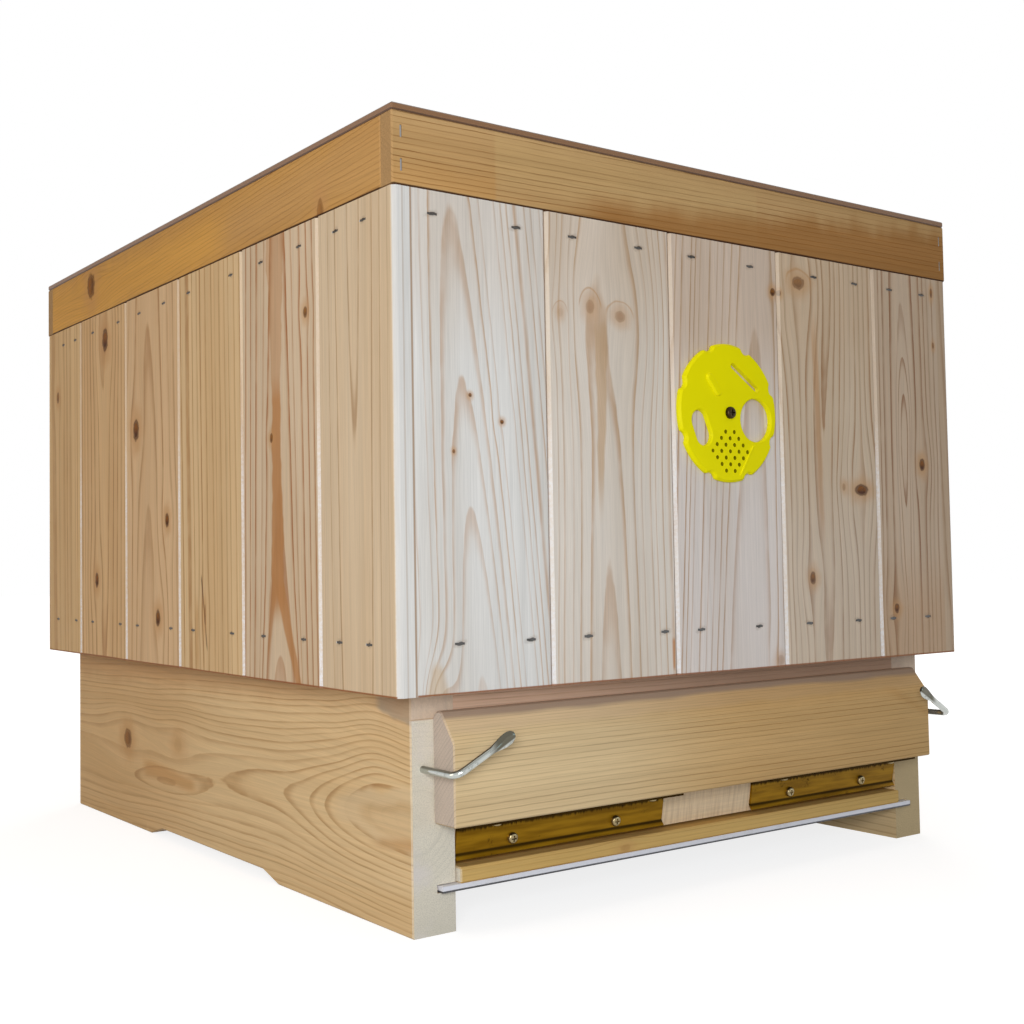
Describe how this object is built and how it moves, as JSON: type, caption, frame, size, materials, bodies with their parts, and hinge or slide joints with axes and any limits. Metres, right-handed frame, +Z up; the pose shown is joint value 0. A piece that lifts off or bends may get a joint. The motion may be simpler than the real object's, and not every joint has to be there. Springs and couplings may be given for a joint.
{
  "type": "insulated beehive",
  "caption": "Boxy insulated wooden beehive with upright board cladding, a turning entrance disc, a flat roof and a bottom board with folding flap and sliding insert.",
  "frame": {"origin": "on the ground, under the middle of the hive's bounding box", "axes": "+X to the right as seen from the front, +Y from the front with the landing flap to the back, +Z up"},
  "size_m": [0.478, 0.5635, 0.442],
  "materials": {
    "cladding_pine": "planed, pale",
    "roof_pine": "planed, orange-brown",
    "roof_panel": "dark, smooth",
    "base_pine": "planed",
    "inner_pine": "planed",
    "frame_wood": "planed",
    "insulation": "soft fibre board",
    "zinc": "zinc plated",
    "hinge_gold": "yellow passivated, dirty",
    "disc_plastic": "glossy greenish yellow",
    "insert_plastic": "matte white",
    "wax": "waxy"
  },
  "bodies": {
    "bottom_board": {"left_side_board": "base_pine", "right_side_board": "base_pine", "rear_board": "base_pine", "entrance_lintel": "base_pine", "floor_rail": "base_pine", "mesh_battens": "base_pine", "floor_mesh": "zinc", "rail_hinge_leaves": "hinge_gold", "hinge_pins": "zinc", "rail_hinge_screws": "zinc"},
    "flap": {"landing_flap": "base_pine", "flap_hinge_leaves": "hinge_gold", "flap_hinge_screws": "zinc"},
    "left_turn_hook": {"left_hook": "zinc"},
    "right_turn_hook": {"right_hook": "zinc"},
    "tray": {"insert_sheet": "insert_plastic", "insert_lath": "base_pine"},
    "hive_body": {"front_board_1": "cladding_pine", "front_board_2": "cladding_pine", "front_board_3": "cladding_pine", "front_board_4": "cladding_pine", "front_board_5": "cladding_pine", "back_board_1": "cladding_pine", "back_board_2": "cladding_pine", "back_board_3": "cladding_pine", "back_board_4": "cladding_pine", "back_board_5": "cladding_pine", "left_board_1": "cladding_pine", "left_board_2": "cladding_pine", "left_board_3": "cladding_pine", "left_board_4": "cladding_pine", "left_board_5": "cladding_pine", "left_board_6": "cladding_pine", "right_board_1": "cladding_pine", "right_board_2": "cladding_pine", "right_board_3": "cladding_pine", "right_board_4": "cladding_pine", "right_board_5": "cladding_pine", "right_board_6": "cladding_pine", "front_inner_wall": "inner_pine", "back_inner_wall": "inner_pine", "left_inner_wall": "inner_pine", "right_inner_wall": "inner_pine", "wall_insulation": "insulation", "wall_rails": "inner_pine", "cladding_staples": "zinc", "disc_screw": "zinc"},
    "disc": {"entrance_disc": "disc_plastic"},
    "frames": {"frame_top_bars": "frame_wood", "frame_side_bars": "frame_wood", "frame_bottom_bars": "frame_wood", "wax_foundations": "wax"},
    "roof": {"roof_front_board": "roof_pine", "roof_back_board": "roof_pine", "roof_left_board": "roof_pine", "roof_right_board": "roof_pine", "roof_sheet": "roof_panel", "roof_ceiling": "inner_pine", "roof_insulation": "insulation", "roof_staples": "zinc"}
  },
  "joints": [
    {"name": "flap_hinge", "type": "hinge", "parent": "bottom_board", "child": "flap", "pos_m": [0, -0.24918, 0.05705], "axis": [1, 0, 0], "range_deg": [0, 90]},
    {"name": "left_hook_turn", "type": "hinge", "parent": "bottom_board", "child": "left_turn_hook", "pos_m": [-0.2112, -0.24674, 0.089], "axis": [0, -1, 0], "range_deg": [0, 245]},
    {"name": "right_hook_turn", "type": "hinge", "parent": "bottom_board", "child": "right_turn_hook", "pos_m": [0.2112, -0.24674, 0.089], "axis": [0, 1, 0], "range_deg": [0, 245]},
    {"name": "tray_slide", "type": "slide", "parent": "bottom_board", "child": "tray", "axis": [0, -1, 0], "range_m": [0, 0.42]},
    {"name": "body_lift", "type": "slide", "parent": "bottom_board", "child": "hive_body", "axis": [0, 0, 1], "range_m": [0, 0.15]},
    {"name": "disc_turn", "type": "hinge", "parent": "hive_body", "child": "disc", "pos_m": [0.0068, -0.26673, 0.29], "axis": [0, 1, 0], "continuous": true},
    {"name": "roof_lift", "type": "slide", "parent": "hive_body", "child": "roof", "axis": [0, 0, 1], "range_m": [0, 0.35]},
    {"name": "frames_lift", "type": "slide", "parent": "hive_body", "child": "frames", "axis": [0, 0, 1], "range_m": [0, 0.28]}
  ],
  "couplings": [
    {"joint": "left_hook_turn", "follows": "flap_hinge", "ratio": 2.7},
    {"joint": "right_hook_turn", "follows": "flap_hinge", "ratio": 2.7},
    {"joint": "frames_lift", "follows": "roof_lift", "ratio": 0.8}
  ]
}
